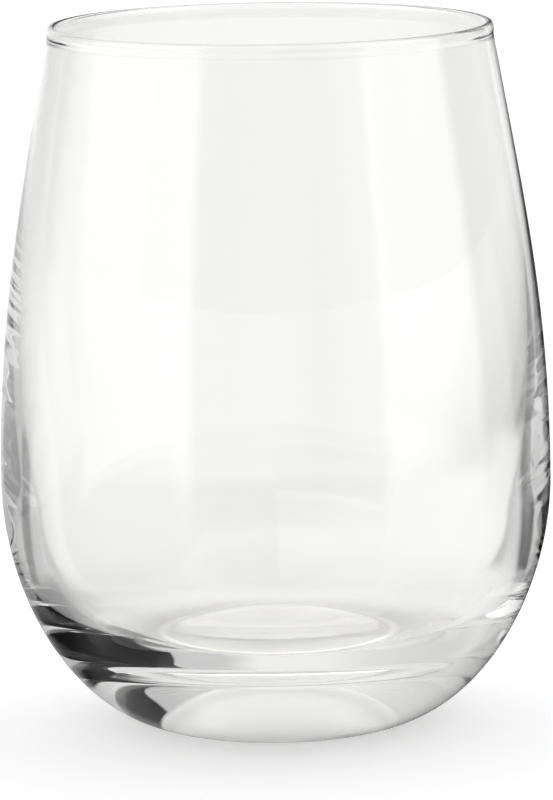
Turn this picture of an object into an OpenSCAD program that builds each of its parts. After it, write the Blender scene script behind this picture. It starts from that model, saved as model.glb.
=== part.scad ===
// Stemless wine glass, machine-blown in one piece of clear soda-lime glass.
// The bowl is widest low down, leans in to a narrower mouth and ends in a
// fire-polished bead. Its wall is thin at the rim and thickens all the way
// down to a heavy base, whose floor rises to a low crown in the middle. It
// stands on a narrow flat ring round a shallow hollow. The origin is the
// middle of the base, on the table, with +Z up.
// The outside is drawn as smooth curves in radius and height. The inside of
// the wall follows the outside at a thickness that grows by a law from the
// lip down, then rounds into the floor, and the whole section is turned once
// round the axis.

/* [Overall] */
// Height from the table to the top of the rim
glass_h = 118.5; // [105:0.5:150]
// Diameter of the bowl at its widest place
belly_d = 93; // [86:1:110]
// Height of the bowl's widest place above the table
belly_z = 41.5; // [38:0.5:54]

/* [Rim] */
// Diameter over the outside of the rim
rim_d = 74.8; // [64:0.2:84]
// Inward lean of the wall where it meets the rim, in degrees
rim_lean = 10; // [5:0.5:16]
// Thickness of the rounded bead on the rim
bead_t = 1.5; // [1.2:0.1:2.6]
// Wall thickness just under the bead
lip_t = 1; // [0.7:0.05:1.2]
// Length of wall over which the bead swells out of the lip
bead_rise = 2.2; // [1.5:0.1:4]

/* [Outside line] */
// How far the outside keeps upright above its widest place
belly_pull_up = 29; // [16:0.5:30]
// How far the outside keeps its lean below the rim
rim_pull = 26; // [14:0.5:30]
// How far the outside keeps upright below its widest place
belly_pull_down = 18.5; // [16:0.5:30]
// How far the underside runs on at the foot's own angle
foot_pull = 15; // [8:0.2:20]
// Angle between the table and the underside where it leaves the foot, in degrees
foot_angle = 14; // [6:0.5:20]

/* [Inside line] */
// Wall thickness at the bowl's widest place
belly_t = 4.3; // [3:0.1:6]
// How the wall thickens from the lip down: 1 evenly, 3 mostly low down
wall_power = 2.9; // [1:0.1:3.4]
// How far the inside runs on below the widest place before it turns to the floor
bowl_pull = 13; // [8:0.5:20]
// Diameter of the crowned middle of the floor inside
floor_d = 46; // [30:1:50]
// How far the floor runs on level round that middle, where it is lowest
floor_pull = 14.5; // [10:0.5:18]
// Height of the crown in the middle of the floor
floor_crown = 3.2; // [0.2:0.1:5]

/* [Base] */
// Outer diameter of the ring that the glass stands on
foot_d = 43; // [34:0.5:50]
// Width of the flat ring that touches the table
ring_w = 1.6; // [1:0.1:4]
// Depth of the hollow under the base, in its middle
punt_h = 1.4; // [0.6:0.1:3]
// Thickness of the glass in the middle of the base
base_t = 16.2; // [10:0.2:18]

/* [Hidden] */
// Turning steps round the axis
$fn = 180;
// Straight pieces in each long curve and in each short one
long_steps = 26;
short_steps = 10;
bead_steps = 18;

bead_r = bead_t / 2;
belly_r = belly_d / 2;
foot_r = foot_d / 2;
ring_in_r = foot_r - ring_w;
floor_r = floor_d / 2;
floor_top = punt_h + base_t;
floor_z = floor_top - floor_crown;

// Middle of the bead's round section, the way up along the wall and the way out of it
bead_mid = [rim_d / 2 - bead_r, glass_h - bead_r];
up_wall = [-sin(rim_lean), cos(rim_lean)];
out_wall = [cos(rim_lean), sin(rim_lean)];
lip_mid = bead_mid - bead_rise * up_wall;

belly = [belly_r, belly_z];
lip_out = lip_mid + lip_t / 2 * out_wall;
lip_in = lip_mid - lip_t / 2 * out_wall;
foot_edge = [foot_r, 0];
foot_out = [cos(foot_angle), sin(foot_angle)];
floor_edge = [floor_r, floor_z];

// Share of a short curve's length that its handles reach, for a smooth swell
swell_share = 0.45;
// Share of the hollow's and the crown's radius that stays level in the middle
dome_share = 0.5;

// The leaning wall's outside from the widest place up to the lip: its ends and its two handles
wall_line = [belly, belly + [0, belly_pull_up], lip_out - rim_pull * up_wall, lip_out];

// Point at t, from 0 to 1, on a curve with these ends and handles
function on_curve(p, t) =
    pow(1 - t, 3) * p[0] + 3 * pow(1 - t, 2) * t * p[1] + 3 * (1 - t) * t * t * p[2] + pow(t, 3) * p[3];

// Direction of that curve at t
function heading(p, t) =
    unit(pow(1 - t, 2) * (p[1] - p[0]) + 2 * (1 - t) * t * (p[2] - p[1]) + t * t * (p[3] - p[2]));

function unit(v) = v / norm(v);

// All of the curve's points but its first
function curve(p, steps) = [for (i = [1:steps]) on_curve(p, i / steps)];

// Wall thickness at t, from the widest place at 0 to the lip at 1
function wall_at(t) = lip_t + (belly_t - lip_t) * pow(1 - t, wall_power);

// Point inside the wall, square across its thickness from the outside point at t
function inside_at(t) = on_curve(wall_line, t) + wall_at(t) * [-heading(wall_line, t)[1], heading(wall_line, t)[0]];

// Inside at the height of the widest place, where the wall's slant is carried on downwards
bowl = inside_at(0);
bowl_down = unit(bowl - inside_at(1 / long_steps));

// The flat ring and the shallow hollow inside it, from the axis outwards
function underside() = concat(
    [[0, punt_h]],
    curve([[0, punt_h], [ring_in_r * dome_share, punt_h], [ring_in_r * (1 - dome_share / 2), 0],
        [ring_in_r, 0]], short_steps),
    [foot_edge]
);

// From the foot round the heavy lower body and up the leaning wall
function outside() = concat(
    curve([foot_edge, foot_edge + foot_pull * foot_out, belly - [0, belly_pull_down], belly], long_steps),
    curve(wall_line, long_steps)
);

// The lip swells into a round bead and back
function rim() = concat(
    curve([lip_out, lip_out + bead_rise * swell_share * up_wall,
        bead_mid + bead_r * out_wall - bead_rise * swell_share * up_wall,
        bead_mid + bead_r * out_wall], short_steps),
    [for (i = [1:bead_steps])
        bead_mid + bead_r * [cos(rim_lean + 180 * i / bead_steps), sin(rim_lean + 180 * i / bead_steps)]],
    curve([bead_mid - bead_r * out_wall,
        bead_mid - bead_r * out_wall - bead_rise * swell_share * up_wall,
        lip_in + bead_rise * swell_share * up_wall, lip_in], short_steps)
);

// Down inside the thickening wall, round to the floor and up over its crown to the axis
function inside() = concat(
    [for (i = [1:long_steps]) inside_at(1 - i / long_steps)],
    curve([bowl, bowl + bowl_pull * bowl_down, floor_edge + [floor_pull, 0], floor_edge], long_steps),
    curve([floor_edge, floor_edge - [floor_r * dome_share, 0], [floor_r * dome_share, floor_top],
        [0, floor_top]], short_steps)
);

module glass() {
    color("azure", 0.35)
        rotate_extrude()
            polygon(concat(underside(), outside(), rim(), inside()));
}

glass();
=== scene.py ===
from math import cos, pi, radians, sin
import bpy
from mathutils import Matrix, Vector


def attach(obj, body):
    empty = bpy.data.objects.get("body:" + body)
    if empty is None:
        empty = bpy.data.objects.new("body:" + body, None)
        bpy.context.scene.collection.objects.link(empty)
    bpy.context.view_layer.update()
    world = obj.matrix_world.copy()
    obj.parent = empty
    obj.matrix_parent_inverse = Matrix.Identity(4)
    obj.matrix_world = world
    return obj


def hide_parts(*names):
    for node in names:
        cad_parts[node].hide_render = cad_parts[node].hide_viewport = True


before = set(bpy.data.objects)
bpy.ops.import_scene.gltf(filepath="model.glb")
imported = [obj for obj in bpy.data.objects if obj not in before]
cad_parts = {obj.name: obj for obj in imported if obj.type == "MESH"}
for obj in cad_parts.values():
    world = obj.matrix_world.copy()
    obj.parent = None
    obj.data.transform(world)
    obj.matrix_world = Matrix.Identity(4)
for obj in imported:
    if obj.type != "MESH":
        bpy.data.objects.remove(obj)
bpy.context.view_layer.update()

# Sizes of the glass in millimetres
MM = 0.001
glass_h = 118.5
belly_d = 93
belly_z = 41.5
rim_d = 74.8
rim_lean = radians(10)
bead_t = 1.5
lip_t = 1
bead_rise = 2.2
belly_pull_up = 29
rim_pull = 26
belly_pull_down = 18.5
foot_pull = 15
foot_angle = radians(14)
belly_t = 4.3
wall_power = 2.9
bowl_pull = 13
floor_d = 46
floor_pull = 14.5
floor_crown = 3.2
foot_d = 43
ring_w = 1.6
punt_h = 1.4
base_t = 16.2

# Shares of a short curve that its handles reach
swell_share = 0.45
dome_share = 0.5
# Handle that makes a quarter circle of a curve, as a share of its radius
quarter_share = 0.5523
wall_pieces = 6
curve_steps = 12
turn_steps = 256
# Points of the turned shape that lie closer than this, in metres, are one point
join_gap = 0.000002


def xz(x, z):
    return Vector((x, 0, z))


def on_curve(p, t):
    s = 1 - t
    return s ** 3 * p[0] + 3 * s * s * t * p[1] + 3 * s * t * t * p[2] + t ** 3 * p[3]


def slope(p, t):
    s = 1 - t
    return 3 * (s * s * (p[1] - p[0]) + 2 * s * t * (p[2] - p[1]) + t * t * (p[3] - p[2]))


def part_curve(p, a, b):
    """The stretch of a curve between two of its places, as a curve of its own."""
    reach = (b - a) / 3
    start, end = on_curve(p, a), on_curve(p, b)
    return [start, start + reach * slope(p, a), end - reach * slope(p, b), end]


def half_section():
    """The curves round the glass, from the hollow under the base to the middle of the floor inside."""
    up = xz(-sin(rim_lean), cos(rim_lean))
    out = xz(cos(rim_lean), sin(rim_lean))
    bead_r = bead_t / 2
    bead_mid = xz(rim_d / 2 - bead_r, glass_h - bead_r)
    lip_mid = bead_mid - bead_rise * up
    lip_out = lip_mid + lip_t / 2 * out
    lip_in = lip_mid - lip_t / 2 * out
    belly = xz(belly_d / 2, belly_z)
    foot_edge = xz(foot_d / 2, 0)
    ring_in_r = foot_d / 2 - ring_w
    ring_in = xz(ring_in_r, 0)
    hollow = xz(0, punt_h)
    floor_top = punt_h + base_t
    floor_r = floor_d / 2
    floor_mid = xz(0, floor_top)
    floor_edge = xz(floor_r, floor_top - floor_crown)
    foot_out = xz(cos(foot_angle), sin(foot_angle))
    wall = [belly, belly + xz(0, belly_pull_up), lip_out - rim_pull * up, lip_out]

    def inside(t):
        thick = lip_t + (belly_t - lip_t) * (1 - t) ** wall_power
        along = slope(wall, t).normalized()
        return on_curve(wall, t) + thick * xz(-along.z, along.x)

    def inside_slope(t):
        near = 0.0001
        a, b = max(0, t - near), min(1, t + near)
        return (inside(b) - inside(a)) / (b - a)

    def wall_inside(a, b):
        reach = (b - a) / 3
        start, end = inside(a), inside(b)
        return [start, start + reach * inside_slope(a), end - reach * inside_slope(b), end]

    swell = bead_rise * swell_share * up
    k = quarter_share * bead_r
    outer, top, inner = bead_mid + bead_r * out, bead_mid + bead_r * up, bead_mid - bead_r * out
    curves = [[hollow, xz(ring_in_r * dome_share, punt_h), xz(ring_in_r * (1 - dome_share / 2), 0), ring_in]]
    curves.append([ring_in, ring_in.lerp(foot_edge, 1 / 3), ring_in.lerp(foot_edge, 2 / 3), foot_edge])
    body = [foot_edge, foot_edge + foot_pull * foot_out, belly - xz(0, belly_pull_down), belly]
    curves += [part_curve(body, 0, 1 / 3), part_curve(body, 1 / 3, 2 / 3), part_curve(body, 2 / 3, 1)]
    curves += [part_curve(wall, 0, 0.5), part_curve(wall, 0.5, 1)]
    curves.append([lip_out, lip_out + swell, outer - swell, outer])
    curves.append([outer, outer + k * up, top + k * out, top])
    curves.append([top, top - k * out, inner + k * up, inner])
    curves.append([inner, inner - swell, lip_in + swell, lip_in])
    places = [1 - i / wall_pieces for i in range(wall_pieces + 1)]
    curves += [wall_inside(a, b) for a, b in zip(places, places[1:])]
    bowl = inside(0)
    bowl_end = bowl - bowl_pull * inside_slope(0).normalized()
    round_in = [bowl, bowl_end, floor_edge + xz(floor_pull, 0), floor_edge]
    curves += [part_curve(round_in, 0, 0.5), part_curve(round_in, 0.5, 1)]
    flat = floor_r * dome_share
    curves.append([floor_edge, floor_edge - xz(flat, 0), xz(flat, floor_top), floor_mid])
    return curves


def draw_section(curves):
    """Draws the half section as one line of curves and makes it an edge loop."""
    bpy.ops.curve.primitive_bezier_curve_add()
    line = bpy.context.object
    bpy.ops.object.mode_set(mode="EDIT")
    bpy.ops.curve.select_all(action="SELECT")
    bpy.ops.curve.subdivide(number_cuts=len(curves) - 1)
    bpy.ops.curve.handle_type_set(type="FREE_ALIGN")
    bpy.ops.object.mode_set(mode="OBJECT")
    points = line.data.splines[0].bezier_points
    for i, point in enumerate(points):
        before = curves[max(i - 1, 0)]
        after = curves[min(i, len(curves) - 1)]
        here = after[0] if i < len(curves) else before[3]
        point.handle_left_type = "FREE"
        point.handle_right_type = "FREE"
        point.co = here * MM
        point.handle_left = (before[2] if i else here) * MM
        point.handle_right = (after[1] if i < len(curves) else here) * MM
    line.data.splines[0].resolution_u = curve_steps
    bpy.ops.object.convert(target="MESH")
    return bpy.context.object


def blow_glass():
    """Turns the half section once round the axis and closes its two poles."""
    bpy.ops.object.select_all(action="DESELECT")
    glass = draw_section(half_section())
    glass.name = "wine_glass"
    bpy.ops.object.mode_set(mode="EDIT")
    bpy.ops.mesh.select_all(action="SELECT")
    bpy.ops.mesh.spin(steps=turn_steps, angle=radians(360), center=(0, 0, 0), axis=(0, 0, 1))
    bpy.ops.mesh.select_all(action="SELECT")
    bpy.ops.mesh.remove_doubles(threshold=join_gap)
    bpy.ops.mesh.normals_make_consistent(inside=False)
    bpy.ops.object.mode_set(mode="OBJECT")
    bpy.ops.object.shade_smooth()
    return glass


def node_maker(tree):
    """Adds a node with its values and links its inputs."""
    def add(kind, values=None, **settings):
        made = tree.nodes.new(kind)
        for name, value in settings.items():
            setattr(made, name, value)
        for name, value in (values or {}).items():
            if isinstance(value, bpy.types.NodeSocket):
                tree.links.new(value, made.inputs[name])
            else:
                made.inputs[name].default_value = value
        return made
    return add


def new_material(name):
    material = bpy.data.materials.new(name)
    material.use_nodes = True
    material.node_tree.nodes.clear()
    return material, node_maker(material.node_tree)


# Colour of the glass and how strongly it bends light
glass_tint = (0.992, 0.99, 0.982, 1)
glass_index = 1.52
# Waves that blowing leaves in it: how close, how fine, how strong and how deep in metres
wave_scale = 60
wave_detail = 2
wave_strength = 0.005
wave_depth = 0.001


def clear_glass():
    """Polished clear glass with the faint waves that blowing leaves in it."""
    material, add = new_material("clear_soda_glass")
    place = add("ShaderNodeTexCoord")
    waves = add("ShaderNodeTexNoise", {
        "Vector": place.outputs["Object"], "Scale": wave_scale, "Detail": wave_detail})
    bump = add("ShaderNodeBump", {
        "Height": waves.outputs["Fac"], "Strength": wave_strength, "Distance": wave_depth})
    shader = add("ShaderNodeBsdfPrincipled", {
        "Base Color": glass_tint, "Roughness": 0, "IOR": glass_index,
        "Transmission Weight": 1, "Normal": bump.outputs["Normal"]})
    add("ShaderNodeOutputMaterial", {"Surface": shader.outputs["BSDF"]})
    return material


# White of the table top, and the light that it gives off by itself: to the camera, and through the glass
table_paint = 0.95
floor_lift = 0.22
floor_lift_through = 0.24
# Painted shade and light on the table top, seen only through the glass: how bright it is painted there, as
# pairs of a bearing from it, in degrees to the right of straight ahead, and a level: under the glass, close to
# it, farther off and beyond. The dark patches stand in for dark cards and for the shade by the foot; levels
# above 1 are painted light.
painted_foot_levels = [(-180, 1.2), (-120, 1.15), (-90, 0.85), (-46, 0.85), (0, 0.95), (60, 0.85), (100, 0.95),
    (115, 1.2), (180, 1.2)]
painted_near_levels = [(-180, 0.95), (-112, 0.85), (-100, 0.4), (-58, 0.4), (-44, 0.65), (-20, 0.73), (20, 0.74),
    (60, 0.65), (110, 0.9), (180, 0.95)]
painted_card_levels = [(-180, 0.88), (-90, 0.88), (-76, 0.7), (-60, 0.6), (-57, 0.25), (-50, 0.25), (-46, 0.65),
    (-25, 0.75), (0, 0.76), (25, 0.77), (42, 0.7), (46, 0.05), (58, 0.05), (63, 0.55), (110, 0.88),
    (180, 0.88)]
painted_far_levels = [(-180, 0.88), (-90, 0.88), (-60, 0.53), (-45, 0.57), (-25, 0.77), (0, 0.83), (12, 0.8),
    (20, 0.65), (30, 0.53), (34, 0.05), (62, 0.05), (66, 0.55), (110, 0.88), (180, 0.88)]
# How far out the first three of these end in metres, how softly, and how far the table runs
foot_end = 0.042
near_end = 0.082
painted_cards_end = 0.155
ring_soft = 0.012
table_reach = 3
# How bright the room is, as pairs of a bearing and a level: as light comes through the glass, and as its
# polish mirrors the room, level and low down
room_through = [(-180, 0.8), (-126, 0.62), (-94, 0.8), (-60, 0.7), (-28, 0.77), (-12, 0.9), (6, 0.91),
    (16, 0.62), (30, 0.6), (100, 0.05), (125, 0.6), (180, 0.2)]
room_mirrored = [(-180, 0.72), (-160, 0.65), (-147, 0.8), (-142, 3), (-75, 2.8), (-62, 1.75), (-60, 1.4),
    (-45, 0.8), (-28, 0.73), (-8, 1.3), (0, 0.7), (5, 0.1), (17, 0.1), (24, 0.9), (30, 1.45), (50, 1.65),
    (80, 0.8), (87, 3), (131, 3), (135, 1.4), (160, 0.45), (180, 0.72)]
low_mirrored = [(-180, 1.8), (-144, 2.9), (-76, 2.7), (-64, 0.8), (-58, 0), (-24, 0), (-12, 0.3), (0, 0.3),
    (5, 0), (42, 0), (50, 0.8), (60, 1.3), (84, 3), (150, 3), (180, 1.8)]
# Slopes down at which the low levels begin and end, and the table by the foot, which the polish shows dim
low_ups = (-0.25, -0.05)
down_light = 0.2
down_ups = (-0.7, -0.5)
# Parts of the room, as bearings in degrees, slopes up and their light: a lamp at the right, a lamp behind
# the camera's left side, and the dim wall below that lamp
side_lamp = ((128, 181), (-0.1, 0.31), 0.58)
rear_lamp = ((-181, -116), (-1, 0.49), 1.4)
rear_wall = ((-181, -118), (-1, 0.4), 0.32)
# How softly they end, in bearing and in slope
patch_soft = (radians(2), 0.02)
# The ceiling and its middle: the slopes between which each begins, and its light
ceiling_ups = (0.78, 0.86)
ceiling_light = 1
zenith_ups = (0.91, 0.95)
zenith_light = 0.81
# Light of the room on the table top: from ahead and from behind the camera, with how softly one goes over
# into the other, and near the horizon
light_ahead = 1.35
light_back = 0.65
ahead_reach = 0.8
horizon_light = 1
horizon_ups = (0, 0.2)
# Light that reaches the table through the glass: from low down, from overhead and the slopes between them
shadow_low = 1.5
shadow_high = 0
shadow_ups = (0.3, 0.7)
# A dark screen at the right, as slopes of the way to its edges: ahead, back, up and down
screen_light = 0.01
screen_ahead = 1.62
screen_back = -3
screen_top = 1.47
screen_bottom = -99
# How softly its edges end, and how far to the right a way has to lead to meet it
screen_soft = 0.04
screen_starts = (0.02, 0.1)


def light_tools(add):
    """Nodes for sums, soft steps, blends and levels round the room."""
    def sum_of(kind, a, b=0):
        return add("ShaderNodeMath", {0: a, 1: b}, operation=kind).outputs[0]

    def step(value, low, high):
        """0 below low, 1 above high and smooth between them."""
        return add("ShaderNodeMapRange", {"Value": value, "From Min": low, "From Max": high},
            interpolation_type="SMOOTHSTEP").outputs["Result"]

    def blend(share, a, b):
        """Light a where share is 0 and light b where it is 1."""
        return add("ShaderNodeMix", {0: share, 2: a, 3: b}).outputs[0]

    def level_at(bearing, levels):
        """Level at a bearing, from pairs of a bearing in degrees and a level."""
        turn = add("ShaderNodeMapRange", {"Value": bearing, "From Min": -pi, "From Max": pi})
        ramp = add("ShaderNodeValToRGB", {"Fac": turn.outputs["Result"]})
        stops = ramp.color_ramp.elements
        for angle, light in levels[1:-1]:
            stops.new((angle + 180) / 360)
        for stop, (angle, light) in zip(stops, levels):
            stop.color = (light, light, light, 1)
        return ramp.outputs["Color"]

    return sum_of, step, blend, level_at


def white_floor_with_painted_shade():
    """A table top that shows as plain white and takes the soft shadow. Through the glass it shows painted
    shade
    and light: dark patches that stand in for dark cards and the shade by the foot, and brighter ones under the
    glass.
    """
    material, add = new_material("white_table_with_painted_shade")
    sum_of, step, blend, level_at = light_tools(add)
    place = add("ShaderNodeTexCoord")
    way = add("ShaderNodeSeparateXYZ", {"Vector": place.outputs["Object"]})
    bearing = sum_of("ARCTAN2", way.outputs["X"], way.outputs["Y"])
    distance = add("ShaderNodeVectorMath", {0: place.outputs["Object"]}, operation="LENGTH").outputs["Value"]
    # Painted shade and light: the table's level as seen through the glass, by bearing and in rings out from
    # the foot
    through = level_at(bearing, painted_foot_levels)
    for ring_start, levels in ((foot_end, painted_near_levels), (near_end, painted_card_levels), (painted_cards_end, painted_far_levels)):
        farther = step(distance, ring_start - ring_soft, ring_start + ring_soft)
        through = blend(farther, through, level_at(bearing, levels))
    path = add("ShaderNodeLightPath")
    level = blend(path.outputs["Is Transmission Ray"], 1, through)
    paint = add("ShaderNodeBsdfDiffuse", {"Color": sum_of("MULTIPLY", level, table_paint)})
    seen = sum_of("MAXIMUM", path.outputs["Is Glossy Ray"], path.outputs["Is Transmission Ray"])
    lift = blend(path.outputs["Is Camera Ray"], sum_of("MULTIPLY", seen, floor_lift_through), floor_lift)
    # The glow is scaled by the same painted level, so the painted shade and light show in it too
    glow = add("ShaderNodeEmission", {"Strength": sum_of("MULTIPLY", lift, level)})
    both = add("ShaderNodeAddShader", {0: paint.outputs["BSDF"], 1: glow.outputs["Emission"]})
    add("ShaderNodeOutputMaterial", {"Surface": both.outputs["Shader"]})
    return material


def light_room():
    """A pale room with soft lights at both sides and overhead, and a dark screen at the right."""
    world = bpy.data.worlds.new("studio")
    world.use_nodes = True
    world.node_tree.nodes.clear()
    bpy.context.scene.world = world
    add = node_maker(world.node_tree)

    sum_of, step, blend, level_at = light_tools(add)

    def between(value, low, high, soft):
        """1 from low to high, with soft edges."""
        down = sum_of("MULTIPLY", value, -1)
        over_low = step(value, low - soft, low + soft)
        under_high = step(down, -high - soft, -high + soft)
        return sum_of("MULTIPLY", over_low, under_high)

    place = add("ShaderNodeTexCoord")
    way = add("ShaderNodeSeparateXYZ", {"Vector": place.outputs["Generated"]})
    right, ahead, up = (way.outputs[name] for name in "XYZ")
    bearing = sum_of("ARCTAN2", right, ahead)

    def light_patch(level, bearings, slopes, light):
        wide = between(bearing, radians(bearings[0]), radians(bearings[1]), patch_soft[0])
        high = between(up, slopes[0], slopes[1], patch_soft[1])
        return blend(sum_of("MULTIPLY", wide, high), level, light)

    slope_ahead = sum_of("DIVIDE", ahead, right)
    slope_up = sum_of("DIVIDE", up, right)
    wide = between(slope_ahead, screen_back, screen_ahead, screen_soft)
    high = between(slope_up, screen_bottom, screen_top, screen_soft)
    screen = sum_of("MULTIPLY", sum_of("MULTIPLY", step(right, *screen_starts), wide), high)
    level = blend(screen, level_at(bearing, room_through), screen_light)
    for part in (side_lamp, rear_lamp, rear_wall):
        level = light_patch(level, *part)
    path = add("ShaderNodeLightPath")
    low = blend(step(up, *down_ups), down_light, level_at(bearing, low_mirrored))
    mirrored = blend(step(up, *low_ups), low, level_at(bearing, room_mirrored))
    level = blend(path.outputs["Is Reflection Ray"], level, mirrored)
    level = blend(step(up, *ceiling_ups), level, ceiling_light)
    level = blend(step(up, *zenith_ups), level, zenith_light)
    lit = sum_of("GREATER_THAN", path.outputs["Diffuse Depth"], 0)
    level = blend(lit, level, blend(step(up, *shadow_ups), shadow_low, shadow_high))
    on_table = blend(step(ahead, -ahead_reach, ahead_reach), light_back, light_ahead)
    on_table = blend(step(up, *horizon_ups), horizon_light, on_table)
    plain = sum_of("MAXIMUM", path.outputs["Is Diffuse Ray"], path.outputs["Is Camera Ray"])
    level = blend(plain, level, on_table)
    light = add("ShaderNodeBackground", {"Color": level})
    add("ShaderNodeOutputWorld", {"Surface": light.outputs["Background"]})


def lay_floor():
    """A table top that runs far out all round the glass."""
    bpy.ops.mesh.primitive_plane_add(size=2 * table_reach)
    table = bpy.context.object
    table.name = "floor"
    table.data.materials.append(white_floor_with_painted_shade())
    table.visible_glossy = False


# The camera: its place in metres, how far it looks down and leans in degrees, and its lens in millimetres
camera_place = (0, -0.93, 0.20805)
look_down = 9.376
lean = -0.812
lens_length = 250.8
film_width = 36
film_shift = 0.002
# How often light may be bent or mirrored before it is given up
bounces = 40


def set_camera():
    """The photograph's view: from far off, a little above the rim."""
    bpy.ops.object.camera_add(location=camera_place)
    camera = bpy.context.object
    camera.rotation_mode = "ZYX"
    camera.rotation_euler = (radians(90 - look_down), 0, radians(lean))
    camera.data.lens = lens_length
    camera.data.sensor_width = film_width
    camera.data.shift_x = film_shift
    bpy.context.scene.camera = camera


glass = blow_glass()
glass.data.materials.append(clear_glass())
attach(glass, "root")
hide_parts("glass")
lay_floor()
light_room()
set_camera()
bpy.context.scene.view_settings.view_transform = "Standard"
# Light that is guided round inside the thick glass is followed far
bpy.context.scene.cycles.max_bounces = bounces
bpy.context.scene.cycles.glossy_bounces = bounces
bpy.context.scene.cycles.transmission_bounces = bounces
# The glass stays as clear for the light that falls on the table
bpy.context.scene.cycles.blur_glossy = 0
